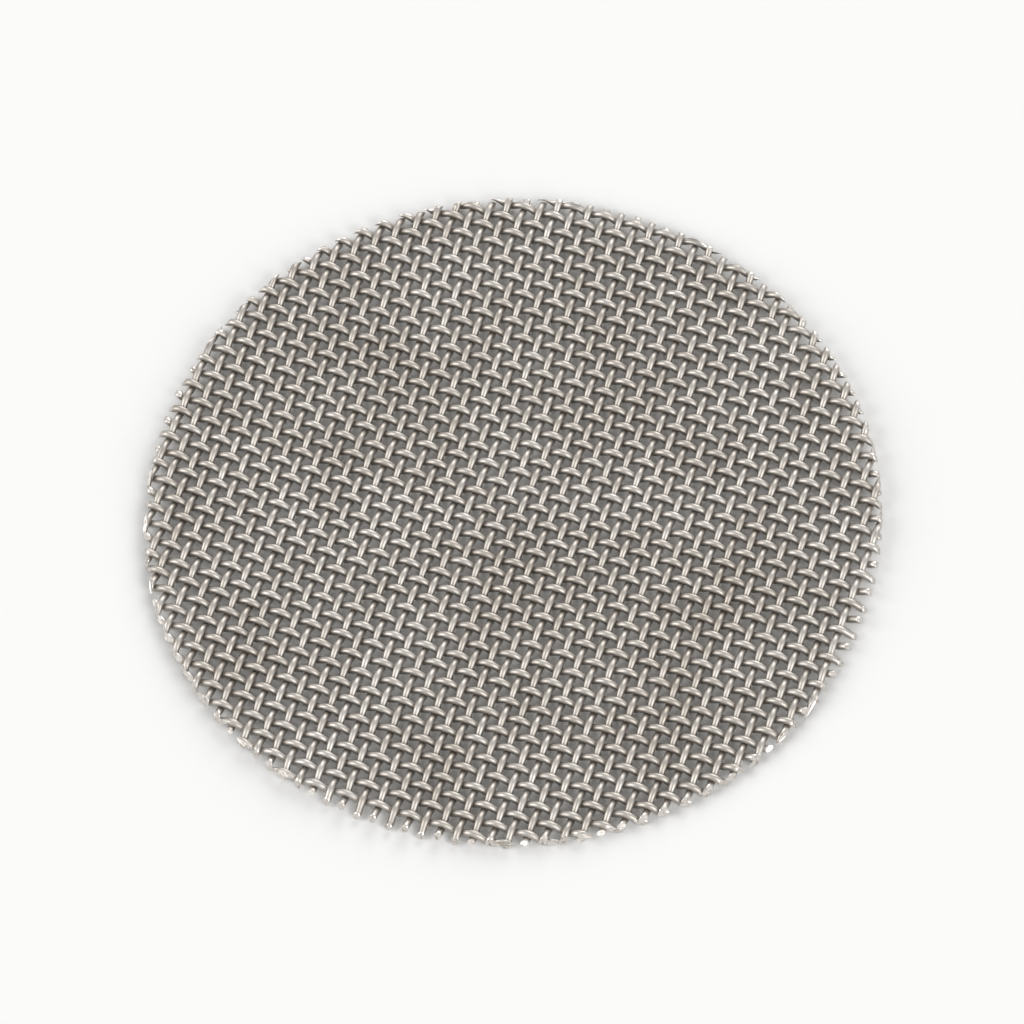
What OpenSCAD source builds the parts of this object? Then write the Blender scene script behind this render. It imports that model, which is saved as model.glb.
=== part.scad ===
// Wire mesh filter disc: a round piece punched from plain-woven stainless wire cloth.
// It lies flat, its underside on z = 0 and its centre on the Z axis, with strands along X and Y.
// Strands that cross are bonded at every crossing, so the disc is one wall with open gaps.
// Each strand stands for a few neighbouring wires of the fine cloth, with the cloth's own
// thickness and share of open area.

/* [Disc] */
// Diameter of the punched disc
disc_d = 19.05; // [12:0.05:30]

/* [Weave] */
// Spacing of neighbouring strands, centre to centre
strand_pitch = 1.48; // [1.2:0.01:2.4]
// Width of one strand, seen from above
strand_w = 0.66; // [0.4:0.01:0.9]
// Thickness of one strand
strand_t = 0.21; // [0.15:0.01:0.35]
// Depth to which two strands bed into each other where they cross
bedding = 0.04; // [0.02:0.005:0.08]
// Flats that make up one bend of a strand, the middle one level on its crown
bend_flats = 4; // [4:2:8]

/* [Hidden] */
$fn = 64;

// The strand's path swings above and below the middle of the cloth in a cosine of flats,
// whose level crowns stand at this height
crown_z = (strand_t - bedding) / 2;
flat_l = strand_pitch / bend_flats;
crimp = crown_z / cos(90 / bend_flats);

// The disc: as many strands to each side of the middle one as fit with their whole width
disc_r = disc_d / 2;
disc_t = 2 * crown_z + strand_t;
side_strands = floor((disc_r - strand_w / 2) / strand_pitch);

// Half the chord that the rim leaves at a distance from the centre
function half_chord(from_centre) = sqrt(pow(disc_r, 2) - pow(from_centre, 2));

// Flats to each side of a strand's middle, past the rim along its inner edge
function side_flats(row) =
    ceil(half_chord(max(abs(row) * strand_pitch - strand_w / 2, 0)) / flat_l);

// Points of a strand's path, where one flat meets the next
function path(row, phase) =
    let (side = side_flats(row), swing = crimp * ((row + phase) % 2 == 0 ? 1 : -1))
    [for (step = [-side - 0.5 : side + 0.5])
        [step * flat_l, swing * cos(180 * step / bend_flats)]];

// The path's points in order along one face of the strand and back along the other
function outline(points) = concat(
    [for (point = points) point + [0, strand_t / 2]],
    [for (k = [len(points) - 1 : -1 : 0]) points[k] - [0, strand_t / 2]]
);

// A strand along X that passes over every second crossing strand and under the others
module strand(row, phase) {
    translate([0, row * strand_pitch, 0])
        rotate([90, 0, 0])
        linear_extrude(height = strand_w, center = true)
        polygon(outline(path(row, phase)));
}

// The cloth: one set of strands along X and one along Y, over and under in turn
module woven_cloth() {
    for (row = [-side_strands : side_strands]) {
        strand(row, 0);
        rotate([0, 0, 90]) strand(row, 1);
    }
}

// The punched disc: the cloth cut round at the rim
module mesh_disc() {
    color("#b4afa6")
        translate([0, 0, disc_t / 2])
        intersection() {
            woven_cloth();
            cylinder(h = 2 * disc_t, d = disc_d, center = true);
        }
}

mesh_disc();
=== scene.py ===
"""Wire mesh filter disc: weaves the cloth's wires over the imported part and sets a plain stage."""

import math
import random

import bpy
import numpy as np
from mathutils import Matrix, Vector


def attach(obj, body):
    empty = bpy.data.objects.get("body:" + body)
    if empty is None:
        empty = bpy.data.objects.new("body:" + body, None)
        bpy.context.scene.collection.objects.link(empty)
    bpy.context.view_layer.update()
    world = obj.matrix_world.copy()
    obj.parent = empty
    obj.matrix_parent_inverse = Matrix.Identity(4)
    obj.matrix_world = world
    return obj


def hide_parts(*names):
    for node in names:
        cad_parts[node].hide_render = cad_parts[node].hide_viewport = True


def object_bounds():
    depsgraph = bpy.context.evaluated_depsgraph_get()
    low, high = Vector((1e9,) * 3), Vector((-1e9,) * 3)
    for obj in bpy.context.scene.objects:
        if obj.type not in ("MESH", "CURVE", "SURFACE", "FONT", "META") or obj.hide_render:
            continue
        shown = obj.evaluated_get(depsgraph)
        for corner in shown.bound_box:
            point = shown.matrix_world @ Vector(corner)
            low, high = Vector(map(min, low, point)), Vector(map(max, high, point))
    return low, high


bl_info = {
    "name": "Wire mesh filter disc",
    "version": (1, 0, 0),
    "blender": (4, 5, 0),
    "location": "3D View > Sidebar > Filter disc",
    "description": "Weaves the wires of a punched filter disc and sets a plain stage for it",
    "category": "Add Mesh",
}

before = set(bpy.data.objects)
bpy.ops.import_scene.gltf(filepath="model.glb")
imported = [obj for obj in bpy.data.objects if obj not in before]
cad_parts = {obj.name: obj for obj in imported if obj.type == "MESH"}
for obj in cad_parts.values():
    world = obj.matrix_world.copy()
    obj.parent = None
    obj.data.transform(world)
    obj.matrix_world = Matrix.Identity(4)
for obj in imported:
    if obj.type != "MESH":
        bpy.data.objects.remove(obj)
CAD_LOW, CAD_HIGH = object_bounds()

MM = 0.001
INCH = 25.4 * MM

# The part: one body with one node, whose box gives the disc's radius and the cloth's thickness
BODY = "root"
NODE = "mesh_disc"
DISC_RADIUS = (CAD_HIGH.x - CAD_LOW.x) / 2
CLOTH_THICKNESS = CAD_HIGH.z - CAD_LOW.z

# A wire's mesh: corners of its section, rings from one crossing to the next, and its two materials
SECTION_CORNERS = 10
RINGS_PER_PITCH = 6
DRAWN_SKIN, SHEARED_AND_SHEEN_SKIN = 0, 1

# Each wire is a little brighter or duller than its neighbours
TINT_LAYER = "wire_tint"
TINT_MIDDLE = 0.5
TINT_SPREAD = 0.12

# Each wire shows the pattern of its drawn surface from another place on
PATTERN_LAYER = "along_wire"
PATTERN_STEP_MM = 37.0

# The punch turns the free end of a wire up a little and pushes it aside: at most this much for an
# end of this length, and less for a shorter one
TURNED_LENGTH = 0.5 * MM
TURNED_HEIGHT = 0.08 * MM
FRAY_SIDEWAYS = 0.03 * MM

# The sheared faces lean in, because the punch drags the upper side of the cloth with it
SHEAR_SLANT = 0.09 * MM

# A wire that runs closer to the rim than this falls out when the disc is punched
RIM_MARGIN = 0.03 * MM

# The lines of the weave bend in waves. Each wave has its share of the drift, its radians per radius
# of the disc along x and along y, and its radians at the centre.
DRIFT_WAVES_X = ((1.0, 0.0, 1.9, 0.6), (0.5, -2.2, 4.1, 0.0))
DRIFT_WAVES_Y = ((1.0, 2.3, 0.0, -0.4), (0.5, 3.7, 2.6, 0.0))

# The two edges that lift lie this way from the centre, and opposite
BOW_DIRECTION = (0.8, 0.6)


def linear(hex_colour):
    """Turn an sRGB hex colour into linear red, green and blue."""
    channels = [int(hex_colour[k : k + 2], 16) / 255 for k in (1, 3, 5)]
    return [c / 12.92 if c <= 0.04045 else ((c + 0.055) / 1.055) ** 2.4 for c in channels]


class FilterDiscCloth(bpy.types.PropertyGroup):
    """Sizes and colours of the woven wire cloth."""

    wires_per_inch: bpy.props.FloatProperty(
        name="Wires per inch",
        description="Mesh number of the cloth, the same both ways",
        default=60.0,
    )
    wire_diameter: bpy.props.FloatProperty(
        name="Wire diameter",
        description="Two wires cross in the thickness of the cloth",
        default=CLOTH_THICKNESS / 2,
        subtype="DISTANCE",
        unit="LENGTH",
        precision=5,
    )
    punch_shift: bpy.props.FloatVectorProperty(
        name="Punch shift",
        description="Where the punch met the cloth, in pitches from a crossing",
        default=(0.34, -0.21),
        size=2,
    )
    spacing_error: bpy.props.FloatProperty(
        name="Spacing error",
        description="Uneven spacing of the wires, as a share of the pitch",
        default=0.045,
    )
    drift: bpy.props.FloatProperty(
        name="Drift",
        description="How far the lines of the weave bend across the disc",
        default=0.07 * MM,
        subtype="DISTANCE",
        unit="LENGTH",
        precision=5,
    )
    bow: bpy.props.FloatProperty(
        name="Bow",
        description="How far two opposite edges of the disc lift off the ground",
        default=0.12 * MM,
        subtype="DISTANCE",
        unit="LENGTH",
        precision=5,
    )
    seed: bpy.props.IntProperty(name="Seed", description="Start of the random draws", default=7)
    bright_steel: bpy.props.FloatVectorProperty(
        name="Bright steel",
        description="Colour of clean drawn wire",
        default=linear("#b4b0ab"),
        subtype="COLOR",
        min=0.0,
        max=1.0,
    )
    dull_steel: bpy.props.FloatVectorProperty(
        name="Dull steel",
        description="Colour of wire with a thin film from rolling and handling",
        default=linear("#9c958c"),
        subtype="COLOR",
        min=0.0,
        max=1.0,
    )
    # Fresh cut metal, made lighter than clean wire: partly its own colour, partly a painted sheen along
    # the rim
    cut_steel_and_sheen: bpy.props.FloatVectorProperty(
        name="Cut steel",
        description="Colour of the freshly sheared wire ends",
        default=linear("#cfcac4"),
        subtype="COLOR",
        min=0.0,
        max=1.0,
    )


class FilterDiscStage(bpy.types.PropertyGroup):
    """Camera, lights and floor around the disc."""

    azimuth: bpy.props.FloatProperty(
        name="Azimuth",
        description="Turn of the camera round the disc",
        default=math.radians(19.7),
        subtype="ANGLE",
    )
    elevation: bpy.props.FloatProperty(
        name="Elevation",
        description="Height of the camera above the disc",
        default=math.radians(61.5),
        subtype="ANGLE",
    )
    distance: bpy.props.FloatProperty(
        name="Distance",
        description="From the camera to the middle of the disc",
        default=150 * MM,
        subtype="DISTANCE",
        unit="LENGTH",
    )
    frame_share: bpy.props.FloatProperty(
        name="Share of the frame",
        description="Width of the disc over the width of the picture",
        default=0.72,
    )
    floor_colour: bpy.props.FloatVectorProperty(
        name="Floor",
        description="Colour of the white ground",
        default=linear("#fcfcfb"),
        subtype="COLOR",
    )
    sky_light: bpy.props.FloatProperty(
        name="Sky light",
        description="Strength of the even light from all round",
        default=0.3,
    )
    key_light: bpy.props.FloatProperty(
        name="Key light",
        description="Light that the softboxes together give the floor, where 1 lights white to white",
        default=0.79,
    )


def add_node(tree, kind, settings=None, links=None):
    """Add a shader node, set its inputs or properties, and link its inputs to other nodes' outputs."""
    new = tree.nodes.new(kind)
    for name, value in (settings or {}).items():
        if isinstance(name, int) or name in new.inputs:
            new.inputs[name].default_value = value
        else:
            setattr(new, name, value)
    for name, source in (links or {}).items():
        tree.links.new(source, new.inputs[name])
    return new


def new_material(name):
    """Make an empty node material and return it with its tree and output node."""
    material = bpy.data.materials.new(name)
    material.use_nodes = True
    material.node_tree.nodes.clear()
    output = material.node_tree.nodes.new("ShaderNodeOutputMaterial")
    return material, material.node_tree, output


# Stainless steel, drawn through dies: metal with a satin gloss and fine lines along the wire.
# Its film from rolling oil and handling gives warm, duller patches a few millimetres wide.
DRAW_LINE_WIDTH_MM = 0.03  # real draw lines are a few thousandths, drawn wider so that they show
DRAW_LINE_LENGTH_MM = 0.8
DRAW_LINE_DEPTH_MM = 0.004
DRAW_LINE_CONTRAST = (0.3, 0.7)
DRAWN_ROUGHNESS = (0.36, 0.52)
FILM_PATCH_MM = 4.0
FILM_CONTRAST = (0.7, 1.35)


def drawn_stainless(cloth):
    """Material of the wires' drawn surface."""
    name = "drawn stainless wire"
    if name in bpy.data.materials:
        return bpy.data.materials[name]
    material, tree, output = new_material(name)
    girth_mm = math.pi * cloth.wire_diameter / MM
    place = add_node(tree, "ShaderNodeTexCoord")
    along = add_node(
        tree,
        "ShaderNodeMapping",
        {"Scale": (1 / DRAW_LINE_LENGTH_MM, girth_mm / DRAW_LINE_WIDTH_MM, 1)},
        {"Vector": place.outputs["UV"]},
    )
    lines = add_node(
        tree,
        "ShaderNodeTexNoise",
        {"Scale": 1.0, "Detail": 2.0},
        {"Vector": along.outputs["Vector"]},
    )
    patches = add_node(
        tree,
        "ShaderNodeTexNoise",
        {"Scale": 1 / (FILM_PATCH_MM * MM), "Detail": 3.0, "Roughness": 0.6},
        {"Vector": place.outputs["Object"]},
    )
    wire = add_node(tree, "ShaderNodeAttribute", {"attribute_name": TINT_LAYER})
    film = add_node(
        tree,
        "ShaderNodeMath",
        {"operation": "ADD"},
        {0: patches.outputs["Fac"], 1: wire.outputs["Fac"]},
    )
    film_share = add_node(
        tree,
        "ShaderNodeMapRange",
        {"From Min": FILM_CONTRAST[0], "From Max": FILM_CONTRAST[1]},
        {"Value": film.outputs["Value"]},
    )
    colour = add_node(
        tree,
        "ShaderNodeMix",
        {"data_type": "RGBA", 6: (*cloth.bright_steel, 1), 7: (*cloth.dull_steel, 1)},
        {0: film_share.outputs["Result"]},
    )
    gloss = add_node(
        tree,
        "ShaderNodeMapRange",
        {
            "From Min": DRAW_LINE_CONTRAST[0],
            "From Max": DRAW_LINE_CONTRAST[1],
            "To Min": DRAWN_ROUGHNESS[0],
            "To Max": DRAWN_ROUGHNESS[1],
        },
        {"Value": lines.outputs["Fac"]},
    )
    scratch = add_node(
        tree,
        "ShaderNodeBump",
        {"Strength": 0.3, "Distance": DRAW_LINE_DEPTH_MM * MM},
        {"Height": lines.outputs["Fac"]},
    )
    shader = add_node(
        tree,
        "ShaderNodeBsdfPrincipled",
        {"Metallic": 1.0},
        {
            "Base Color": colour.outputs[2],
            "Roughness": gloss.outputs["Result"],
            "Normal": scratch.outputs["Normal"],
        },
    )
    tree.links.new(shader.outputs["BSDF"], output.inputs["Surface"])
    return material


# Stainless steel where the punch sheared it: bright where it was cut, dull and rough where it tore. The
# bright cut colour, lighter than clean wire, is also a painted sheen that makes the rim glint.
SHEAR_GRAIN_MM = 0.09
TEAR_DEPTH_MM = 0.015
# Mostly the bright cut colour, so that the ends show a painted sheen along the rim
TEAR_CONTRAST = (0.52, 0.68)
SHEARED_ROUGHNESS = (0.3, 0.55)


def sheared_stainless(cloth):
    """Material of the wires' cut ends and their last stretch, whose bright colour is partly fresh metal
    and partly painted sheen.
    """
    name = "sheared stainless wire end and painted sheen"
    if name in bpy.data.materials:
        return bpy.data.materials[name]
    material, tree, output = new_material(name)
    place = add_node(tree, "ShaderNodeTexCoord")
    grain = add_node(
        tree,
        "ShaderNodeTexNoise",
        {"Scale": 1 / (SHEAR_GRAIN_MM * MM), "Detail": 2.0},
        {"Vector": place.outputs["Object"]},
    )
    torn_share = add_node(
        tree,
        "ShaderNodeMapRange",
        {"From Min": TEAR_CONTRAST[0], "From Max": TEAR_CONTRAST[1]},
        {"Value": grain.outputs["Fac"]},
    )
    colour = add_node(
        tree,
        "ShaderNodeMix",
        {"data_type": "RGBA", 6: (*cloth.cut_steel_and_sheen, 1), 7: (*cloth.dull_steel, 1)},
        {0: torn_share.outputs["Result"]},
    )
    gloss = add_node(
        tree,
        "ShaderNodeMapRange",
        {"To Min": SHEARED_ROUGHNESS[0], "To Max": SHEARED_ROUGHNESS[1]},
        {"Value": torn_share.outputs["Result"]},
    )
    torn = add_node(
        tree,
        "ShaderNodeBump",
        {"Strength": 0.5, "Distance": TEAR_DEPTH_MM * MM},
        {"Height": grain.outputs["Fac"]},
    )
    shader = add_node(
        tree,
        "ShaderNodeBsdfPrincipled",
        {"Metallic": 1.0},
        {
            "Base Color": colour.outputs[2],
            "Roughness": gloss.outputs["Result"],
            "Normal": torn.outputs["Normal"],
        },
    )
    tree.links.new(shader.outputs["BSDF"], output.inputs["Surface"])
    return material


def wire_places(cloth, shift, rng):
    """Return the places of all wires of one set across the disc, a little unevenly spaced."""
    pitch = INCH / cloth.wires_per_inch
    reach = int(DISC_RADIUS / pitch) + 2
    error = cloth.spacing_error * pitch
    numbers = range(-reach, reach + 1)
    return np.array([(k + shift) * pitch + rng.uniform(-error, error) for k in numbers])


def both_sets(cloth):
    """Return the places of the wires along X, given by y, and of those along Y, given by x."""
    rng = random.Random(cloth.seed)
    along_x = wire_places(cloth, cloth.punch_shift[1], rng)
    along_y = wire_places(cloth, cloth.punch_shift[0], rng)
    return along_x, along_y


def outermost_place(cloth):
    """Return how far from the middle a wire may run before it falls out of the rim."""
    return DISC_RADIUS - SHEAR_SLANT / 2 - cloth.wire_diameter / 2 - RIM_MARGIN


def free_length(ends, sign, crossings, cloth):
    """Return how far all lines of a wire reach past the last wire met, at the end that sign gives."""
    radius = cloth.wire_diameter / 2
    left_in = sign * crossings[np.abs(crossings) <= outermost_place(cloth)]
    last_met = left_in[left_in < ends.max() + radius].max()
    return min(ends.min() - last_met - radius, TURNED_LENGTH)


def wire_rings(place, number, crossings, over, cloth, rng):
    """Return one wire's rings of corners, as (along, across, height), or None if it fell out."""
    radius = cloth.wire_diameter / 2
    if abs(place) > outermost_place(cloth):
        return None
    step = INCH / cloth.wires_per_inch / RINGS_PER_PITCH
    turns = np.linspace(0, 2 * math.pi, SECTION_CORNERS, endpoint=False)
    side = radius * np.cos(turns)
    rise = radius * np.sin(turns)
    # Each line along the wire ends where it meets the rim, the upper ones a bit further in
    rim = DISC_RADIUS - SHEAR_SLANT * (rise / radius + 1) / 2
    ends = np.sqrt(rim**2 - (place + side) ** 2)
    halves = math.ceil(ends.max() / step)
    along = np.linspace(-1, 1, 2 * halves + 1)[:, None] * ends
    # Over every second wire of the other set and under the rest
    crossing = np.interp(along, crossings, np.arange(len(crossings)))
    swing = radius * over * np.cos(math.pi * (crossing + number))
    lean = np.arctan(np.gradient(swing, axis=0) / np.gradient(along, axis=0))
    height = CLOTH_THICKNESS / 2 + swing + rise * np.cos(lean)
    inside = np.clip((ends - np.abs(along)) / radius, 0, 1)
    across = place + np.repeat(side[None, :], len(along), 0)
    # Only what reaches past the last wire met turns up, so that it isn't pressed into that wire
    for sign in (-1, 1):
        turned_up = TURNED_HEIGHT * rng.uniform(0.0, 1.0)
        pushed_aside = FRAY_SIDEWAYS * rng.uniform(-1.0, 1.0)
        free = free_length(ends, sign, crossings, cloth)
        if free > 0:
            near_end = np.clip(1 - (ends - sign * along) / free, 0, 1) ** 2 * free / TURNED_LENGTH
            height = height + near_end * turned_up
            across = across + near_end * pushed_aside
    return np.stack([along - rise * np.sin(lean) * inside, across, height], 2)


def side_faces(first, total):
    """Return the faces between a wire's rings, where its first corner has the number first."""
    corners = np.arange(SECTION_CORNERS)
    beside = np.roll(corners, -1)
    low = first + np.arange(total - 1)[:, None] * SECTION_CORNERS
    high = low + SECTION_CORNERS
    quads = np.stack([low + corners, low + beside, high + beside, high + corners], 2)
    return quads.reshape(-1, 4).tolist()


def side_skins(total):
    """Return the materials of those faces: drawn, and at both ends the bright cut colour as a painted
    sheen along the rim.
    """
    skins = np.full((total - 1, SECTION_CORNERS), DRAWN_SKIN, dtype=np.int32)
    # The last stretch at each end takes the cut colour: a painted sheen, so that the rim glints all
    # round
    skins[[0, -1]] = SHEARED_AND_SHEEN_SKIN
    return skins.ravel()


def side_uvs(rings, number):
    """Return the UVs of those faces: millimetres along the wire, and once round it from 0 to 1."""
    along = rings[:, :, 0] / MM + number * PATTERN_STEP_MM
    beside = np.roll(along, -1, axis=1)
    corners = np.arange(SECTION_CORNERS)
    start = np.broadcast_to(corners / SECTION_CORNERS, along[1:].shape)
    stop = np.broadcast_to((corners + 1) / SECTION_CORNERS, along[1:].shape)
    spots = [(along[:-1], start), (beside[:-1], stop), (beside[1:], stop), (along[1:], start)]
    return np.stack([np.stack(spot, 2) for spot in spots], 2).reshape(-1, 2)


def waves(shape, x, y):
    """Add up the waves of a shape at places given in radii of the disc."""
    return sum(share * np.sin(turn_x * x + turn_y * y + start) for share, turn_x, turn_y, start in shape)


def drifted(points, cloth):
    """Bend the lines of the weave gently across the disc and lift two of its edges off the ground."""
    x = points[:, 0] / DISC_RADIUS
    y = points[:, 1] / DISC_RADIUS
    moved = points.copy()
    moved[:, 0] += cloth.drift * waves(DRIFT_WAVES_X, x, y)
    moved[:, 1] += cloth.drift * waves(DRIFT_WAVES_Y, x, y)
    moved[:, 2] += cloth.bow * (BOW_DIRECTION[0] * x + BOW_DIRECTION[1] * y) ** 2
    return moved


def wire_set(name, places, crossings, along_x, over, cloth, seed):
    """Make one set of wires as one mesh object with smooth drawn sides and flat sheared ends."""
    rng = random.Random(seed)
    corners = np.arange(SECTION_CORNERS)
    points = []
    sides = []
    ends = []
    skins = []
    uvs = []
    tints = []
    count = 0
    for number, place in enumerate(places):
        rings = wire_rings(place, number, crossings, over, cloth, rng)
        tint = TINT_MIDDLE + rng.uniform(-TINT_SPREAD, TINT_SPREAD)
        if rings is None:
            continue
        total = len(rings)
        last = count + (total - 1) * SECTION_CORNERS
        points.append(rings.reshape(-1, 3))
        sides += side_faces(count, total)
        ends += [(count + corners[::-1]).tolist(), (last + corners).tolist()]
        skins.append(side_skins(total))
        uvs.append(side_uvs(rings, number))
        tints += [tint] * (total * SECTION_CORNERS)
        count += total * SECTION_CORNERS
    skins.append(np.full(len(ends), SHEARED_AND_SHEEN_SKIN, dtype=np.int32))
    uvs.append(np.zeros((len(ends) * SECTION_CORNERS, 2)))
    spots = np.concatenate(points)
    if not along_x:
        # A quarter turn takes the wires from along X to along Y
        spots = np.stack([-spots[:, 1], spots[:, 0], spots[:, 2]], 1)

    mesh = bpy.data.meshes.new(name)
    mesh.from_pydata(drifted(spots, cloth).tolist(), [], sides + ends)
    mesh.materials.append(drawn_stainless(cloth))
    mesh.materials.append(sheared_stainless(cloth))
    mesh.polygons.foreach_set("material_index", np.concatenate(skins))
    mesh.polygons.foreach_set("use_smooth", np.arange(len(mesh.polygons)) < len(sides))
    pattern = mesh.uv_layers.new(name=PATTERN_LAYER)
    pattern.data.foreach_set("uv", np.concatenate(uvs).astype(np.float32).ravel())
    tint_layer = mesh.attributes.new(TINT_LAYER, "FLOAT", "POINT")
    tint_layer.data.foreach_set("value", np.array(tints, dtype=np.float32))
    mesh.update()
    if mesh.validate():
        raise RuntimeError(name + " has faces that Blender had to mend")

    piece = bpy.data.objects.new(name, mesh)
    bpy.context.scene.collection.objects.link(piece)
    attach(piece, BODY)
    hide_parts(NODE)


class FILTERDISC_OT_warp_wires(bpy.types.Operator):
    """Weave the wires that run along X"""

    bl_idname = "filterdisc.warp_wires"
    bl_label = "Warp wires"

    def execute(self, context):
        cloth = context.scene.filter_disc_cloth
        along_x, along_y = both_sets(cloth)
        wire_set("warp_wires", along_x, along_y, True, 1, cloth, cloth.seed + 1)
        return {"FINISHED"}


class FILTERDISC_OT_weft_wires(bpy.types.Operator):
    """Weave the wires that run along Y, under the warp where it goes over"""

    bl_idname = "filterdisc.weft_wires"
    bl_label = "Weft wires"

    def execute(self, context):
        cloth = context.scene.filter_disc_cloth
        along_x, along_y = both_sets(cloth)
        # The quarter turn that lays these wires along Y takes a place to its opposite x
        wire_set("weft_wires", -along_y[::-1], along_x, False, -1, cloth, cloth.seed + 2)
        return {"FINISHED"}


# White card, uncoated: matt and even, so it shows a soft shadow and hardly any shine
def floor_material(stage):
    """Material of the floor."""
    material, tree, output = new_material("white card")
    shader = add_node(
        tree,
        "ShaderNodeBsdfPrincipled",
        {"Base Color": (*stage.floor_colour, 1), "Roughness": 0.9, "Specular IOR Level": 0.1},
    )
    tree.links.new(shader.outputs["BSDF"], output.inputs["Surface"])
    return material


def white_world(stage):
    """Even light from all round, which the camera and the metal see as plain white."""
    world = bpy.data.worlds.new("white surround")
    world.use_nodes = True
    tree = world.node_tree
    tree.nodes.clear()
    output = tree.nodes.new("ShaderNodeOutputWorld")
    path = add_node(tree, "ShaderNodeLightPath")
    seen = add_node(
        tree,
        "ShaderNodeMath",
        {"operation": "MAXIMUM"},
        {0: path.outputs["Is Camera Ray"], 1: path.outputs["Is Glossy Ray"]},
    )
    shown = add_node(
        tree,
        "ShaderNodeMath",
        {"operation": "MAXIMUM"},
        {0: seen.outputs["Value"], 1: path.outputs["Is Transmission Ray"]},
    )
    strength = add_node(
        tree,
        "ShaderNodeMapRange",
        {"To Min": stage.sky_light, "To Max": 1.0},
        {"Value": shown.outputs["Value"]},
    )
    sky = add_node(
        tree,
        "ShaderNodeBackground",
        {"Color": (1, 1, 1, 1)},
        {"Strength": strength.outputs["Result"]},
    )
    tree.links.new(sky.outputs["Background"], output.inputs["Surface"])
    return world


FLOOR_SIZE = 6.0
SOFTBOX_SIZE = 1.0
SOFTBOX_DISTANCE = 1.5
# Slanting light from three sides, so that little of it falls straight through the holes
SOFTBOX_TURNS = (math.radians(-60), math.radians(60), math.radians(180))
SOFTBOX_HEIGHT = math.radians(30)


def direction(turn, height):
    """Return the unit vector to a place, by its turn from the front and its height above the ground."""
    flat = math.cos(height)
    return Vector((math.sin(turn) * flat, -math.cos(turn) * flat, math.sin(height)))


def aim(item, scene, place, back):
    """Put a lamp or camera at a place in the scene, looking away from the direction back."""
    item.location = place
    item.rotation_mode = "QUATERNION"
    item.rotation_quaternion = (-back).to_track_quat("-Z", "Y")
    scene.collection.objects.link(item)


def lay_floor(scene, stage):
    """Lay a square of white card under the disc."""
    half = FLOOR_SIZE / 2
    corners = [(-half, -half, 0), (half, -half, 0), (half, half, 0), (-half, half, 0)]
    mesh = bpy.data.meshes.new("floor")
    mesh.from_pydata(corners, [], [(0, 1, 2, 3)])
    mesh.materials.append(floor_material(stage))
    floor = bpy.data.objects.new("floor", mesh)
    scene.collection.objects.link(floor)


def hang_softboxes(scene, stage):
    """Hang softboxes of equal light round the disc."""
    share = stage.key_light / len(SOFTBOX_TURNS)
    for turn in SOFTBOX_TURNS:
        side = direction(turn, SOFTBOX_HEIGHT)
        lamp = bpy.data.lights.new("softbox", "AREA")
        lamp.shape = "SQUARE"
        lamp.size = SOFTBOX_SIZE
        # Light on the floor is power / distance squared / pi squared, times the slant
        lamp.energy = share * (math.pi * SOFTBOX_DISTANCE) ** 2 / side.z
        aim(bpy.data.objects.new("softbox", lamp), scene, side * SOFTBOX_DISTANCE, side)


def set_camera(scene, stage):
    """Aim the camera at the middle of the disc and fit its angle to the share of the frame."""
    lens = bpy.data.cameras.new("camera")
    lens.sensor_fit = "HORIZONTAL"
    seen_width = 2 * DISC_RADIUS / stage.frame_share
    lens.angle = 2 * math.atan(seen_width / 2 / stage.distance)
    lens.clip_start = stage.distance / 100
    lens.clip_end = FLOOR_SIZE * 10
    camera = bpy.data.objects.new("camera", lens)
    back = direction(stage.azimuth, stage.elevation)
    aim(camera, scene, (CAD_LOW + CAD_HIGH) / 2 + back * stage.distance, back)
    scene.camera = camera


class FILTERDISC_OT_stage(bpy.types.Operator):
    """Lay the floor, set the lights and aim the camera"""

    bl_idname = "filterdisc.stage"
    bl_label = "Stage"

    def execute(self, context):
        scene = context.scene
        stage = scene.filter_disc_stage
        lay_floor(scene, stage)
        scene.world = white_world(stage)
        hang_softboxes(scene, stage)
        set_camera(scene, stage)
        scene.view_settings.view_transform = "Standard"
        return {"FINISHED"}


class FILTERDISC_PT_sidebar(bpy.types.Panel):
    """Lists the steps and the settings of the disc"""

    bl_label = "Filter disc"
    bl_space_type = "VIEW_3D"
    bl_region_type = "UI"
    bl_category = "Filter disc"

    def draw(self, context):
        for step in STEPS:
            self.layout.operator(step.bl_idname)
        for settings in (context.scene.filter_disc_cloth, context.scene.filter_disc_stage):
            box = self.layout.box()
            for name in settings.__annotations__:
                box.prop(settings, name)


STEPS = (FILTERDISC_OT_stage, FILTERDISC_OT_warp_wires, FILTERDISC_OT_weft_wires)
CLASSES = (FilterDiscCloth, FilterDiscStage, *STEPS, FILTERDISC_PT_sidebar)


def register():
    """Register the classes and hang their settings on the scene."""
    for item in CLASSES:
        bpy.utils.register_class(item)
    bpy.types.Scene.filter_disc_cloth = bpy.props.PointerProperty(type=FilterDiscCloth)
    bpy.types.Scene.filter_disc_stage = bpy.props.PointerProperty(type=FilterDiscStage)


def unregister():
    """Take the settings and the classes away again."""
    del bpy.types.Scene.filter_disc_stage
    del bpy.types.Scene.filter_disc_cloth
    for item in reversed(CLASSES):
        bpy.utils.unregister_class(item)


def main():
    register()
    bpy.ops.filterdisc.stage()
    bpy.ops.filterdisc.warp_wires()
    bpy.ops.filterdisc.weft_wires()


if __name__ == "__main__":
    main()
